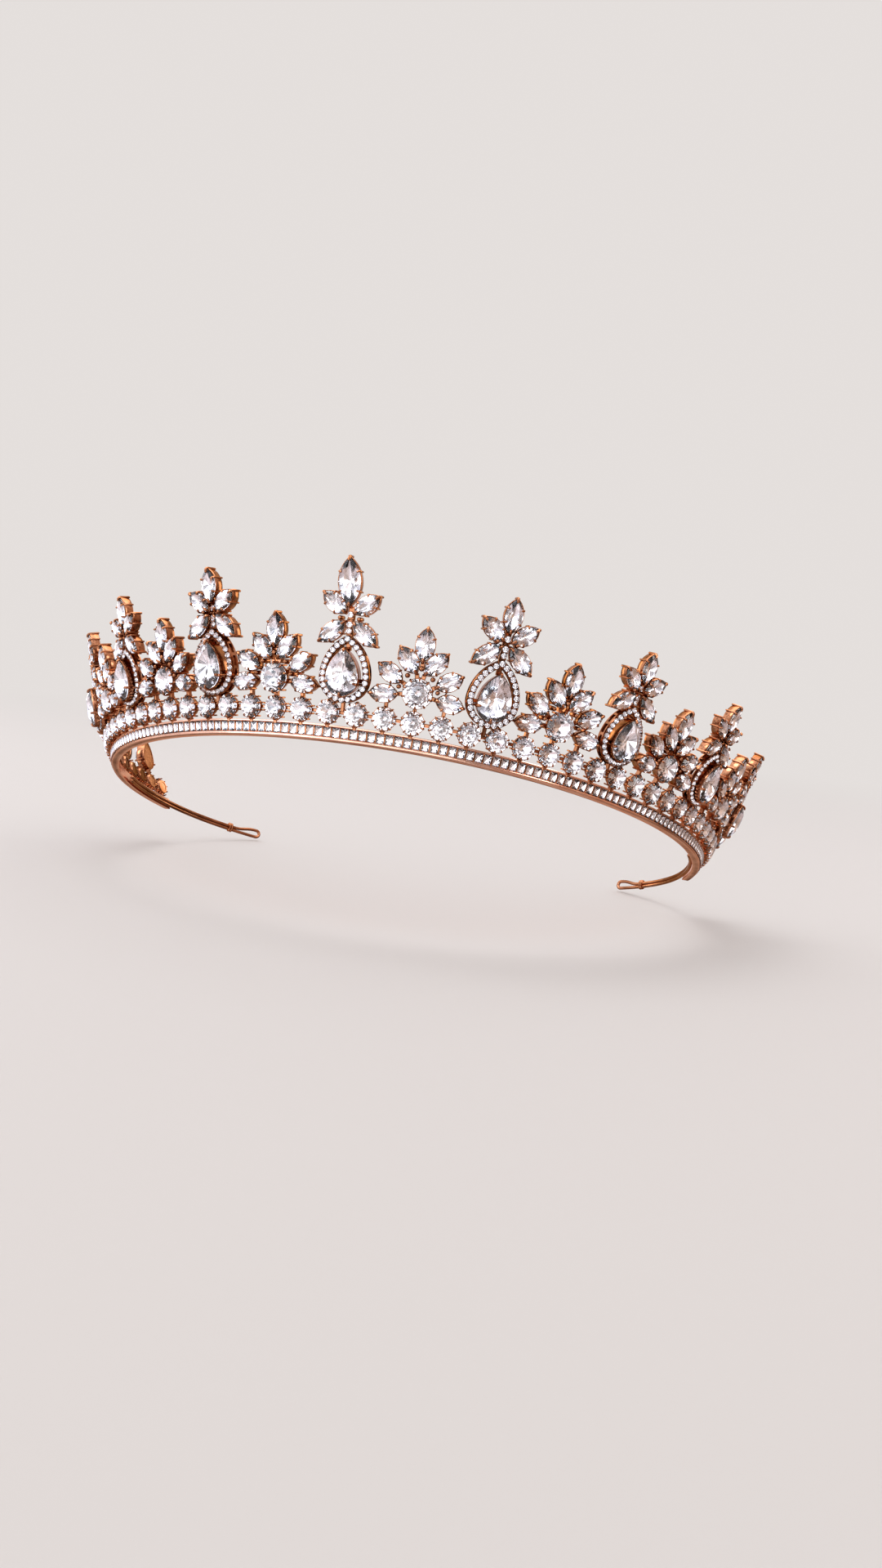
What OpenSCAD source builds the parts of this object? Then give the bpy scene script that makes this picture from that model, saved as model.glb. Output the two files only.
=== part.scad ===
// Bridal tiara: a rose-gold plated band that opens at the back, a row of
// round stones on it, and alternating spires and fans of set stones above.
// The tiara stands on the band's flat lower edge, with its front towards -Y.

/* [Band] */
// Radius of the band's outer face at its lower edge
band_radius = 75.4; // [70:0.1:82]
// Height of the band
band_height = 3; // [2.6:0.1:3.4]
// Thickness of the band, from its outer to its inner face
band_thickness = 1.8; // [1.6:0.1:2.4]
// Angle from the front to each end of the band
band_half_angle = 104; // [103:0.5:108]
// Height of the band's lower rail
lower_rail = 0.5; // [0.4:0.05:1]
// Height of the band's upper rail
upper_rail = 0.45; // [0.4:0.05:0.7]
// Outward lean of everything above the band
flare = 20; // [12:1:26]

/* [Channel stones] */
// Number of square stones in the band's channel
channel_count = 146; // [120:2:150]
// Width of one square stone
channel_stone = 1.55; // [1.2:0.05:1.6]

/* [Stone row] */
// Number of round stones in the row
row_count = 48; // [48:2:48]
// Angle between neighbouring stones
row_pitch = 4.364; // [4.3:0.01:4.45]
// Diameter of a row stone
row_stone_d = 4.8; // [4.4:0.1:4.9]
// Height of the row stones' centres above the band's lower edge, along the lean
row_height = 5.85; // [5.6:0.05:6]

/* [Spires] */
// Size of each spire from the front one to the last one
spire_scales = [1, 1.03, 0.96, 0.95, 0.9]; // [0.85:0.01:1.03]
// Sideways lean of each spire's top leaf, from the left-hand end to the right
top_leans = [0, 0, 0, 5, 5, 0, 0, 0, 0]; // [-6:0.5:6]
// Number of small round stones around each pear stone
halo_count = 26; // [20:1:26]
// Diameter of a halo stone
halo_stone_d = 1.25; // [1:0.05:1.3]
// Length of the front spire's top stone
crest_length = 10; // [8:0.1:11]
// Width of the front spire's top stone
crest_width = 4.7; // [4:0.1:5]

/* [Fans] */
// Diameter of a fan's central round stone
fan_round_d = 6.1; // [5.6:0.1:6.2]

/* [Hair wires] */
// Diameter of the wire
wire_d = 0.9; // [0.8:0.05:1.1]
// Radius of the bend from the band's end to the loop's tip
wire_bend_radius = 57; // [45:1:80]
// Angle that the bend turns through
wire_bend_angle = 33; // [28:1:38]
// Angle over which the wire lies along the inside of the band
wire_lap_angle = 21; // [8:1:24]

/* [Hidden] */
fn_round = 48;
fn_small = 24;
metal = "#c8845c";
stone = "#e9eef6";

// Settings, measured outward from the band's outer face
wall = 0.25;        // wall of a setting outside its stone's girdle
ledge = 0.3;        // width of the seat under a girdle
row_seat = 0.35;    // girdle plane of the row stones
row_depth = 1.7;    // depth of a row setting
motif_seat = 1.45;  // girdle plane of the marquise, halo and fan stones
motif_back = -0.85; // back plane of the spires and fans
pear_seat = 3.15;   // girdle plane of the raised pear stones
prong_r = 0.3;
prong_top = 0.75;   // height of a prong above its girdle plane
girdle = 0.2;
table_cut = 0.65;   // run of a crown's slope
grain_r = 0.6;      // radius of the round grains of metal between the leaves
grain_top = 0.3;    // height of a grain above the girdle plane
tip_gap = 0.1;      // from a stone's tip to the middle of its prong

// Layout of one spire: [base x, base y, tip x, tip y, width] of each leaf
pear_r = 3.35;
pear_y = 12.7;
pear_h = 6.3;
halo_r = 4.6;
halo_y = 13.2;
halo_h = 7.8;
halo_ring = 1.35;    // width of the metal under the halo stones
stem_w = 1.3;
top_leaf = [0, 27, 0, 34, 3.7];
upper_leaf = [0.9, 25.4, 5.65, 29.1, 3.5];
lower_leaf = [0.9, 24.4, 6, 20, 3.5];
crest_leaf = [0, 27.5, 0, 27.5 + crest_length, crest_width];
crest_spread = 1.03; // the front spire's upper side leaves are a little larger
stem_stones = [[22.6, 1.1], [23.9, 1.2], [25.9, 1.2]]; // [y, diameter] of each
foot_y = 8.15;       // a spire is scaled about this height
lean_y = 24;         // and its top leaf leans about this one

// Layout of one fan, mirrored to the other side
fan_y = 12;
fan_top = [0, 18.4, 0, 25.4, 3.9];
fan_leaves = [[0.8, 16, 4.9, 20.8, 3.6], [3.5, 13.8, 8.6, 16.8, 3.6], [3.9, 11.3, 9.7, 10.6, 3.6]];

// The last motif at each end is a single pear stone on the row
end_scale = 0.92;
end_y = 12.4;

row_last = (row_count - 1) / 2;
row_r = row_stone_d / 2;
row_collet_r = row_r + 0.1;
link_w = 0.7;
post_w = 0.8;
fan_index = [for (k = [-4:3]) 5 * k + 2.5];
end_index = [-22.5, 22.5];
channel_depth = 0.75;

// Wires: two strands lie on each other, then open into a loop behind a ferrule
wire_r = wire_d / 2;
lap_r = band_radius - band_thickness - wire_r;
ferrule_angle = 24; // along the bend, from the band's end
ferrule_len = 1.4;
ferrule_wall = 0.35;
strand_low = wire_r + ferrule_wall;
strand_high = strand_low + wire_d + 0.1;
loop_high = strand_low + 1.9;
loop_r = (loop_high - strand_low) / 2;
strand_gap = 0.3;   // angle between the upper strand's end and the ferrule's middle
joint_gap = 0.1;    // angle left between two stretches inside a joint
joint_swell = 0.04; // how far a joint stands proud of the wire

// The origin is under the middle of the tiara's bounding box
crest_tip = lean_y + (crest_leaf[3] + tip_gap - lean_y) * cos(top_leans[4]) + prong_r;
front_y = -(band_radius + crest_tip * sin(flare)
    + (motif_seat + prong_top) * cos(flare));
loop_end = band_half_angle + wire_bend_angle;
back_y = (wire_bend_radius - lap_r) * cos(band_half_angle) - wire_bend_radius * cos(loop_end)
    + loop_r * sin(loop_end) + wire_r;
centre_y = -(front_y + back_y) / 2;

// --- Places ---------------------------------------------------------------

// Stands a child at a place along the row: X runs along the band, Y up the lean, Z outward
module at(index) {
    rotate([0, 0, index * row_pitch])
        translate([0, -band_radius, 0])
            rotate([90 + flare, 0, 0])
                children();
}

module out(w) {
    translate([0, 0, w]) children();
}

module both_sides() {
    children();
    mirror([1, 0, 0]) children();
}

// --- Outlines -------------------------------------------------------------

// Radius and centre offset of the two circles whose overlap is a pointed leaf
function leaf_len(leaf) = norm([leaf[2] - leaf[0], leaf[3] - leaf[1]]);
function lens_radius(len, width) = (len * len + width * width) / (4 * width);
function pear_radius(r, h) = (h * h + r * r) / (2 * r);

// Puts a child drawn along +Y at a leaf's middle
module on_leaf(leaf) {
    translate([(leaf[0] + leaf[2]) / 2, (leaf[1] + leaf[3]) / 2, 0])
        rotate([0, 0, atan2(leaf[3] - leaf[1], leaf[2] - leaf[0]) - 90])
            children();
}

module lens(len, width, grow = 0) {
    radius = lens_radius(len, width);
    shift = radius - width / 2;
    intersection() {
        translate([shift, 0]) circle(radius + grow, $fn = 96);
        translate([-shift, 0]) circle(radius + grow, $fn = 96);
    }
}

module pear(r, h, grow = 0) {
    radius = pear_radius(r, h);
    shift = radius - r;
    circle(r + grow, $fn = fn_round);
    intersection() {
        translate([shift, 0]) circle(radius + grow, $fn = 96);
        translate([-shift, 0]) circle(radius + grow, $fn = 96);
        translate([-2 * r, 0]) square([4 * r, 3 * h]);
    }
}

// Point on a pear outline, for a share of its length counted from the bottom
function pear_point(r, h, share) =
    let (
        radius = pear_radius(r, h),
        shift = radius - r,
        turn = asin(h / radius),
        quarter = r * 90,
        side = radius * turn,
        whole = 2 * (quarter + side),
        s = share * whole,
        mirrored = s > whole / 2,
        t = mirrored ? whole - s : s,
        low = t < quarter,
        a = low ? t / r - 90 : (t - quarter) / radius,
        x = low ? r * cos(a) : radius * cos(a) - shift,
        y = low ? r * sin(a) : radius * sin(a)
    ) [mirrored ? -x : x, y];

// --- Stones ---------------------------------------------------------------

// Half section of a cut stone: pavilion, seat, girdle and crown
module cut_disc(r, crown, pavilion) {
    rotate_extrude($fn = 96)
        polygon([[0, -pavilion], [r - ledge - pavilion, -pavilion], [r - ledge, 0], [r, 0],
            [r, girdle], [r - table_cut, girdle + crown], [0, girdle + crown]]);
}

module round_stone(d, crown, pavilion) {
    r = d / 2;
    rotate_extrude($fn = fn_round)
        polygon([[0, -pavilion], [r - ledge, 0], [r, 0],
            [r, girdle], [0.6 * r, girdle + crown], [0, girdle + crown]]);
}

module small_stone(d) {
    r = d / 2;
    rotate_extrude($fn = fn_small)
        polygon([[0, 0], [r, 0], [r, 0.12], [0.6 * r, 0.4], [0, 0.4]]);
}

module leaf_stone(leaf) {
    len = leaf_len(leaf);
    radius = lens_radius(len, leaf[4]);
    shift = radius - leaf[4] / 2;
    on_leaf(leaf)
        intersection() {
            translate([shift, 0, 0]) cut_disc(radius, 0.7, 0.9);
            translate([-shift, 0, 0]) cut_disc(radius, 0.7, 0.9);
        }
}

module pear_stone() {
    linear_extrude(girdle + 0.5) pear(pear_r, pear_h);
    translate([0, 0, girdle + 0.5]) linear_extrude(0.6) pear(pear_r, pear_h, -table_cut);
}

// --- Settings -------------------------------------------------------------

module leaf_setting(leaf, top) {
    len = leaf_len(leaf);
    on_leaf(leaf) {
        translate([0, 0, motif_back])
            linear_extrude(top - motif_back)
                difference() {
                    lens(len, leaf[4], wall);
                    lens(len, leaf[4], -ledge);
                }
        for (side = [-1, 1])
            translate([0, side * (len / 2 + tip_gap), motif_back])
                cylinder(h = top - motif_back + prong_top, r = prong_r, $fn = fn_small);
    }
}

module round_setting(r, back, top) {
    translate([0, 0, back])
        difference() {
            cylinder(h = top - back, r = r + wall * 0.7, $fn = fn_round);
            translate([0, 0, -1]) cylinder(h = top - back + 2, r = r - ledge, $fn = fn_round);
        }
    for (a = [45:90:315])
        rotate([0, 0, a])
            translate([r + 0.12, 0, back])
                cylinder(h = top - back + prong_top, r = prong_r, $fn = fn_small);
}

// Setting of a pear stone whose girdle is a given height above the setting's back
module pear_setting(height) {
    linear_extrude(height)
        difference() {
            pear(pear_r, pear_h, 0.15);
            pear(pear_r, pear_h, -ledge);
        }
    for (share = [0, 0.18, 0.5, 0.82])
        translate(concat(pear_point(pear_r + tip_gap, pear_h + tip_gap, share), 0))
            cylinder(h = height + prong_top, r = prong_r, $fn = fn_small);
}

module halo_ring() {
    translate([0, halo_y, motif_back])
        linear_extrude(motif_seat - motif_back)
            difference() {
                pear(halo_r, halo_h, halo_ring / 2);
                pear(halo_r, halo_h, -halo_ring / 2);
            }
}

module grain(x, y, r = grain_r) {
    translate([x, y, motif_back])
        cylinder(h = motif_seat + grain_top - motif_back, r = r, $fn = fn_small);
}

module bar(x0, y0, x1, y1, w, back, top) {
    len = norm([x1 - x0, y1 - y0]);
    translate([x0, y0, back])
        rotate([0, 0, atan2(y1 - y0, x1 - x0)])
            translate([0, -w / 2, 0])
                cube([len, w, top - back]);
}

// Everything lower than the band's top
module below_band() {
    translate([0, 0, -20]) cylinder(h = 20 + band_height, r = band_radius + 20, $fn = 96);
}

// The room taken by the row settings around an index
module row_clearance(index, reach = 0) {
    for (j = [-reach:1:reach])
        at(index + j)
            translate([0, row_height, -4])
                cylinder(h = 6, r = row_collet_r, $fn = fn_round);
}

// --- Sub-parts ------------------------------------------------------------

lean = tan(flare);

module band_arc(half_angle) {
    rotate([0, 0, -90 - half_angle])
        rotate_extrude(angle = 2 * half_angle, $fn = 240)
            children();
}

// Cross-section of the band: an outward-leaning wall with a channel between two rails
module band() {
    color(metal)
        band_arc(band_half_angle)
            difference() {
                polygon([[band_radius - band_thickness, 0], [band_radius, 0],
                    [band_radius + band_height * lean, band_height],
                    [band_radius - band_thickness + band_height * lean, band_height]]);
                polygon([[band_radius - channel_depth + lower_rail * lean, lower_rail],
                    [band_radius + 1 + lower_rail * lean, lower_rail],
                    [band_radius + 1 + (band_height - upper_rail) * lean, band_height - upper_rail],
                    [band_radius - channel_depth + (band_height - upper_rail) * lean,
                        band_height - upper_rail]]);
            }
}

module channel_stones() {
    step = 2 * (band_half_angle - 0.6) / channel_count;
    mid = (lower_rail + band_height - upper_rail) / 2;
    tall = (band_height - upper_rail - lower_rail) / cos(flare) - 0.1;
    color(stone)
        for (i = [0:channel_count - 1])
            rotate([0, 0, (i - (channel_count - 1) / 2) * step])
                translate([0, -(band_radius + mid * lean), mid])
                    rotate([90 + flare, 0, 0])
                        translate([-channel_stone / 2, -tall / 2, -0.65])
                            cube([channel_stone, tall, 0.75]);
}

module row_setting() {
    translate([0, row_height, 0]) {
        translate([0, 0, row_seat - row_depth])
            rotate_extrude($fn = fn_round)
                polygon([[row_r - 1, 0], [row_r - 0.5, 0], [row_collet_r, row_depth],
                    [row_r - ledge, row_depth]]);
        for (a = [45:90:315])
            rotate([0, 0, a])
                translate([row_r + 0.05, 0, row_seat - 1])
                    cylinder(h = 1 + 0.6, r = prong_r, $fn = fn_small);
    }
}

// The row of settings is one chain: links between neighbours and a post under each
module row_settings() {
    color(metal)
        difference() {
            union() {
                for (i = [-row_last:1:row_last])
                    at(i) {
                        row_setting();
                        bar(0, row_height - row_r + 0.5, 0, 2, post_w, -0.9, 0);
                    }
                for (i = [-row_last:1:row_last - 1])
                    at(i + 0.5)
                        translate([-1, row_height - link_w / 2, -0.9])
                            cube([2, link_w, 0.8]);
            }
            below_band();
        }
}

module row_stones() {
    color(stone)
        for (i = [-row_last:1:row_last])
            at(i)
                translate([0, row_height, row_seat])
                    round_stone(row_stone_d, 0.75, 1.2);
}

function scaled(leaf, k) = [leaf[0] * k, leaf[1] * k, leaf[2] * k, leaf[3] * k, leaf[4] * k];

// Top leaf of a spire; the front one has a larger stone
function spire_top(k) =
    let (leaf = k == 0 ? crest_leaf : top_leaf, a = top_leans[k + 4])
    [for (y = [leaf[1], leaf[3]]) each [-(y - lean_y) * sin(a), lean_y + (y - lean_y) * cos(a)],
        leaf[4]];

// Side leaves on the right of a spire; the front one's upper leaf is larger
function spire_sides(n) = n == 0
    ? [scaled(upper_leaf, crest_spread), lower_leaf]
    : [upper_leaf, lower_leaf];

// A spire is drawn at full size and scaled about its foot
module spire_place(k) {
    size = spire_scales[abs(k)];
    at(5 * k)
        translate([0, foot_y, 0])
            scale(size)
                translate([0, -foot_y, 0])
                    children();
}

module spire_frame(k) {
    color(metal)
        difference() {
            union() {
                spire_place(k) {
                    halo_ring();
                    translate([0, pear_y, motif_back]) pear_setting(pear_seat - motif_back);
                    // Bridges carry the pear's setting inside the halo
                    for (side = [-1, 1])
                        bar(side * 3, pear_y, side * 4.2, pear_y, 0.8, motif_back, 0.4);
                    bar(0, pear_y + pear_h - 0.4, 0, halo_y + halo_h, 1, motif_back, 0.4);
                    bar(0, 8.2, 0, 9.6, 1, motif_back, 0.4);
                    bar(0, 21.1, 0, 27.6, stem_w, motif_back, 1);
                    leaf_setting(spire_top(k), motif_seat);
                    both_sides()
                        for (leaf = spire_sides(k))
                            leaf_setting(leaf, motif_seat);
                    both_sides() grain(2, 25.1, 0.5);
                }
                at(5 * k) bar(0, 8.9, 0, row_height + link_w / 2, 0.75, motif_back, 0.2);
            }
            for (side = [-0.5, 0.5])
                row_clearance(5 * k + side);
        }
}

module spire_pear(k) {
    color(stone) spire_place(k) translate([0, pear_y, pear_seat]) pear_stone();
}

module spire_halo_stones(k) {
    color(stone)
        spire_place(k)
            for (i = [0:halo_count - 1])
                translate(concat(pear_point(halo_r, halo_h, i / halo_count), 0))
                    translate([0, halo_y, motif_seat])
                        small_stone(halo_stone_d);
}

module spire_crest_stone() {
    color(stone) spire_place(0) out(motif_seat) leaf_stone(spire_top(0));
}

module spire_leaf_stones() {
    color(stone)
        for (k = [-4:4])
            spire_place(k)
                out(motif_seat) {
                    if (k != 0)
                        leaf_stone(spire_top(k));
                    both_sides()
                        for (leaf = spire_sides(k))
                            leaf_stone(leaf);
                }
}

module spire_stem_stones() {
    color(stone)
        for (k = [-4:4])
            spire_place(k)
                for (spot = stem_stones)
                    translate([0, spot[0], 1])
                        small_stone(spot[1]);
}

module fan_frame(index) {
    color(metal)
        difference() {
            union() {
                at(index) {
                    translate([0, fan_y, 0])
                        round_setting(fan_round_d / 2, motif_back, motif_seat);
                    leaf_setting(fan_top, motif_seat);
                    both_sides()
                        for (leaf = fan_leaves) {
                            leaf_setting(leaf, motif_seat);
                            bar(0.75 * leaf[0], fan_y + 0.75 * (leaf[1] - fan_y),
                                leaf[0], leaf[1], 0.9, motif_back, 0.6);
                        }
                    bar(0, 14.7, 0, 18.8, 1, motif_back, 0.6);
                    grain(0, 17.1);
                    both_sides() {
                        grain(2.6, 15.3, 0.55);
                        grain(4, 12.8, 0.5);
                    }
                }
                for (j = [-1, 0, 1])
                    at(index + j)
                        bar(0, 10.2, 0, row_height + 1.5, 0.8, motif_back, 0.2);
            }
            row_clearance(index, 1);
        }
}

module fan_round(index) {
    color(stone)
        at(index)
            translate([0, fan_y, motif_seat])
                round_stone(fan_round_d, 1, 1.6);
}

module fan_leaf_stones() {
    color(stone)
        for (index = fan_index)
            at(index)
                out(motif_seat) {
                    leaf_stone(fan_top);
                    both_sides()
                        for (leaf = fan_leaves)
                            leaf_stone(leaf);
                }
}

module end_place(index) {
    at(index)
        translate([0, end_y, motif_back])
            scale(end_scale)
                children();
}

module end_frame(index) {
    color(metal)
        difference() {
            union() {
                end_place(index) pear_setting(motif_seat - motif_back);
                at(index) bar(0, 10, 0, row_height + 1.5, 0.8, motif_back, 0.2);
            }
            row_clearance(index, 1);
        }
}

module end_pears() {
    color(stone)
        for (index = end_index)
            end_place(index)
                translate([0, 0, motif_seat - motif_back])
                    pear_stone();
}

// --- Hair wires, drawn at the right-hand end and mirrored to the left -------

// Puts a child at the band's end, looking along the wire
module wire_end() {
    rotate([0, 0, band_half_angle]) translate([0, -lap_r, 0]) children();
}

// A stretch of the wire's bend, between two angles counted from the band's end
module bend(from, to, z) {
    wire_end()
        translate([0, wire_bend_radius, 0])
            rotate([0, 0, from - 90])
                rotate_extrude(angle = to - from, $fn = 240)
                    translate([wire_bend_radius, z]) circle(wire_r, $fn = fn_small);
}

// Puts a child on the bend at an angle: X runs along the wire
module on_bend(angle) {
    wire_end()
        translate([0, wire_bend_radius, 0])
            rotate([0, 0, angle])
                translate([0, -wire_bend_radius, 0])
                    children();
}

module lap(z) {
    rotate([0, 0, band_half_angle - wire_lap_angle - 90])
        rotate_extrude(angle = wire_lap_angle, $fn = 240)
            translate([lap_r, z]) circle(wire_r, $fn = fn_small);
}

// A bead of solder where two stretches of a strand meet
module joint(angle, z) {
    on_bend(angle)
        translate([0, 0, z])
            sphere(wire_r + joint_swell, $fn = fn_small);
}

// The lower strand runs to the tip, turns back and ends inside the ferrule, where
// the upper strand ends too
module wire() {
    color(metal) {
        for (z = [strand_low, strand_high]) {
            lap(z);
            joint(0, z);
        }
        bend(joint_gap, wire_bend_angle - joint_gap, strand_low);
        bend(joint_gap, ferrule_angle - strand_gap, strand_high);
        bend(ferrule_angle + strand_gap, wire_bend_angle - joint_gap, loop_high);
        for (z = [strand_low, loop_high])
            joint(wire_bend_angle, z);
        on_bend(wire_bend_angle)
            translate([0, 0, strand_low + loop_r])
                rotate([90, 0, 0])
                    rotate([0, 0, -90])
                        rotate_extrude(angle = 180, $fn = 96)
                            translate([loop_r, 0]) circle(wire_r, $fn = fn_small);
    }
}

// Outline of the ferrule, seen along the wire
module ferrule_outline(grow) {
    for (z = [strand_low, loop_high])
        translate([z, 0]) circle(wire_r + grow, $fn = fn_round);
    translate([strand_low, -wire_r - grow]) square([loop_high - strand_low, 2 * (wire_r + grow)]);
}

module ferrule() {
    color(metal)
        on_bend(ferrule_angle)
            translate([ferrule_len / 2, 0, 0])
                rotate([0, -90, 0])
                    linear_extrude(ferrule_len)
                        difference() {
                            ferrule_outline(ferrule_wall);
                            ferrule_outline(0.05);
                        }
}

// --- Assembly -------------------------------------------------------------

module centred() {
    translate([0, centre_y, 0]) children();
}

centred() band();
centred() channel_stones();
centred() row_settings();
centred() row_stones();
for (k = [1:9]) {
    centred() spire_frame(k - 5);
    centred() spire_pear(k - 5);
    centred() spire_halo_stones(k - 5);
}
centred() spire_crest_stone();
centred() spire_leaf_stones();
centred() spire_stem_stones();
for (k = [1:8]) {
    centred() fan_frame(fan_index[k - 1]);
    centred() fan_round(fan_index[k - 1]);
}
centred() fan_leaf_stones();
centred() end_frame(end_index[0]);  // end_frame_left
centred() end_frame(end_index[1]);  // end_frame_right
centred() end_pears();
centred() wire();  // wire_right
centred() mirror([1, 0, 0]) wire();  // wire_left
centred() ferrule();  // ferrule_right
centred() mirror([1, 0, 0]) ferrule();  // ferrule_left
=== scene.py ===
"""Looks of the bridal tiara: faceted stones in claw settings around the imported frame.

Shapes are drawn in millimetres, in the frame's own axes, and turned into metres in Piece.make().
"""

import math

import bpy
import numpy as np
from mathutils import Matrix, Vector

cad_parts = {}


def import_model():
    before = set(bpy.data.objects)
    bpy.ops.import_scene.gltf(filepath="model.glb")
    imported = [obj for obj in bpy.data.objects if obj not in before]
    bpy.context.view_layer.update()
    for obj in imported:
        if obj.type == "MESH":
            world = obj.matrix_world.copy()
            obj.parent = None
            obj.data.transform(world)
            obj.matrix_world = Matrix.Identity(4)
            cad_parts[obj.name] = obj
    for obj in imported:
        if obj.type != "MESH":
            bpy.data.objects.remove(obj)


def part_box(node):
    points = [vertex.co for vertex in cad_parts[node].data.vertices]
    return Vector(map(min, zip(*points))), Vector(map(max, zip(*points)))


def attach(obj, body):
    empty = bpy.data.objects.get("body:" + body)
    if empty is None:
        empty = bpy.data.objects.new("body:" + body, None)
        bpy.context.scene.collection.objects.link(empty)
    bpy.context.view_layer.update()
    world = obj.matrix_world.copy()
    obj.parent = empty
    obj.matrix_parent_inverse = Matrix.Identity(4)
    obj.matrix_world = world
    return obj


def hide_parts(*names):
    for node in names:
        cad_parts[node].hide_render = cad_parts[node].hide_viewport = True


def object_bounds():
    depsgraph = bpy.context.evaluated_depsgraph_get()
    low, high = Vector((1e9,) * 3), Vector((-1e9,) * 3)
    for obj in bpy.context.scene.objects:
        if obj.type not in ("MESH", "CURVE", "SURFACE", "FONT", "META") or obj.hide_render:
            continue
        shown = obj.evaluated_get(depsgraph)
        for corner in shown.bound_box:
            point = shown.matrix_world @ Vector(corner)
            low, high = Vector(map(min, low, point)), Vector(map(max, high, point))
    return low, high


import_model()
cad_low, cad_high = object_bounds()

# --- Sizes shared with the part, in millimetres and degrees -----------------

BAND_RADIUS = 75.4
BAND_HEIGHT = 3
BAND_THICKNESS = 1.8
BAND_HALF_ANGLE = 104
LOWER_RAIL = 0.5
UPPER_RAIL = 0.45
CHANNEL_DEPTH = 0.75
FLARE = math.radians(20)
LEAN = math.tan(FLARE)
CHANNEL_COUNT = 146
CHANNEL_STONE = 1.55
CHANNEL_END = 0.6  # from the last divider to the end of the band, in degrees
CHANNEL_PLAY = 0.1
ROW_COUNT = 48
ROW_PITCH = 4.364  # degrees
ROW_R = 2.4
ROW_HEIGHT = 5.85
ROW_SEAT = 0.35
ROW_DEPTH = 1.7
MOTIF_EVERY = 5  # row stones from one spire, or one fan, to the next
SPIRE_SCALES = (1, 1.03, 0.96, 0.95, 0.9)  # from the middle spire outward
HALO_COUNT = 26
HALO_STONE_R = 0.57
MOTIF_SEAT = 1.45
MOTIF_BACK = -0.85
PEAR_SEAT = 3.15
LEDGE = 0.3
GIRDLE = 0.2
TIP_GAP = 0.1
PEAR_R, PEAR_Y, PEAR_H = 3.35, 12.7, 6.3
HALO_R, HALO_Y, HALO_H = 4.6, 13.2, 7.8
HALO_RING = 1.35
GALLERY_POSTS = 13
STEM_W = 1.3
STEM_STONES = ((22.6, 0.55), (23.9, 0.6), (25.9, 0.6))  # height and radius
FOOT_Y = 8.15
LEAN_Y = 24
TOP_LEANS = (0, 0, 0, 5, 5, 0, 0, 0, 0)  # degrees, from spire 1 to spire 9
# Leaves: base x, base y, tip x, tip y, width
TOP_LEAF = (0, 27, 0, 34, 3.7)
UPPER_LEAF = (0.9, 25.4, 5.65, 29.1, 3.5)
LOWER_LEAF = (0.9, 24.4, 6, 20, 3.5)
CREST_LEAF = (0, 27.5, 0, 37.5, 4.7)
CREST_SPREAD = 1.03
FAN_ROUND_R, FAN_Y = 3.05, 12
FAN_TOP = (0, 18.4, 0, 25.4, 3.9)
FAN_LEAVES = ((0.8, 16, 4.9, 20.8, 3.6), (3.5, 13.8, 8.6, 16.8, 3.6), (3.9, 11.3, 9.7, 10.6, 3.6))
END_SCALE, END_Y = 0.92, 12.4
WIRE_R = 0.45
LAP_R = BAND_RADIUS - BAND_THICKNESS - WIRE_R
LAP_ANGLE = 21
BEND_R, BEND_ANGLE = 57, 33
FERRULE_ANGLE, FERRULE_LEN, FERRULE_WALL = 24, 1.4, 0.35
STRAND_LOW = WIRE_R + FERRULE_WALL
STRAND_HIGH = STRAND_LOW + 1.95 * WIRE_R
LOOP_R = 0.95
MM = 0.001

ROW_LAST = (ROW_COUNT - 1) / 2
band_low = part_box("band")[0]
CENTRE_Y = band_low.y / MM + BAND_RADIUS + BAND_HEIGHT * LEAN

# --- Sizes of the details, in millimetres and degrees -----------------------

LOW_SHARE = 0.24  # where a pavilion's lower facets begin, from its middle to its rim
LEDGE_DROP = 0.27
LIP = 0.02
PLATE_LIFT = 0.1
CORNER_STEPS = 3
BALL_SIDES = 8
BALL_LIFTS = (-75, -45, -15, 15, 45, 75)
ROD_TIP = ((0.95, 0.3), (0.7, 0.72))  # past the end and thickness, as shares of the radius
METAL_SMOOTH = 40
WIRE_SMOOTH = 60
BAND_RINGS = 161
DIVIDER_WIDTH, DIVIDER_BACK, DIVIDER_TOP = 0.34, -0.6, -0.03
DIVIDER_BEAD = 0.22
ROUND_CLAWS = 10
STEM_BEADS = (22, 23.25, 24.9)
STEM_SEAT = 1
BRIDGE_FRONT = 0.4
STEM_FRONT = 0.45
LEG_FRONT = 0.2
LEG_FOOT = ROW_HEIGHT + 2
HALO_TURN = 11  # degrees from one halo stone's facets to the next one's
RIB_START = 0.75  # where a rib begins, as a share of the way from the fan's middle to its leaf
FAN_SIDE_GRAINS = ((2.6, 15.3, 0.55), (4, 12.8, 0.5))  # x, y and radius
LAP_STEP = 1.5
ARC_STEP = 15
WRAPS, WRAP_STEPS = 2, 8
WRAP_DIP = 0.04  # the ferrule's wall between two wraps


# --- Places -------------------------------------------------------------------


def shift(x, y, z=0):
    place = np.eye(4)
    place[:3, 3] = (x, y, z)
    return place


def turn_z(degrees):
    angle = math.radians(degrees)
    place = np.eye(4)
    place[:2, :2] = ((math.cos(angle), -math.sin(angle)), (math.sin(angle), math.cos(angle)))
    return place


def grow(factor):
    place = np.eye(4) * factor
    place[3, 3] = 1
    return place


def stand(angle, radius=BAND_RADIUS, z=0):
    """A place on the band: X runs along it, Y up the lean and Z outward."""
    lean = np.eye(4)
    cosine, sine = math.cos(math.pi / 2 + FLARE), math.sin(math.pi / 2 + FLARE)
    lean[1:3, 1:3] = ((cosine, -sine), (sine, cosine))
    return shift(0, CENTRE_Y) @ turn_z(angle) @ shift(0, -radius, z) @ lean


def at(index):
    """The place on the band of a row stone, numbered from the middle."""
    return stand(index * ROW_PITCH)


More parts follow.
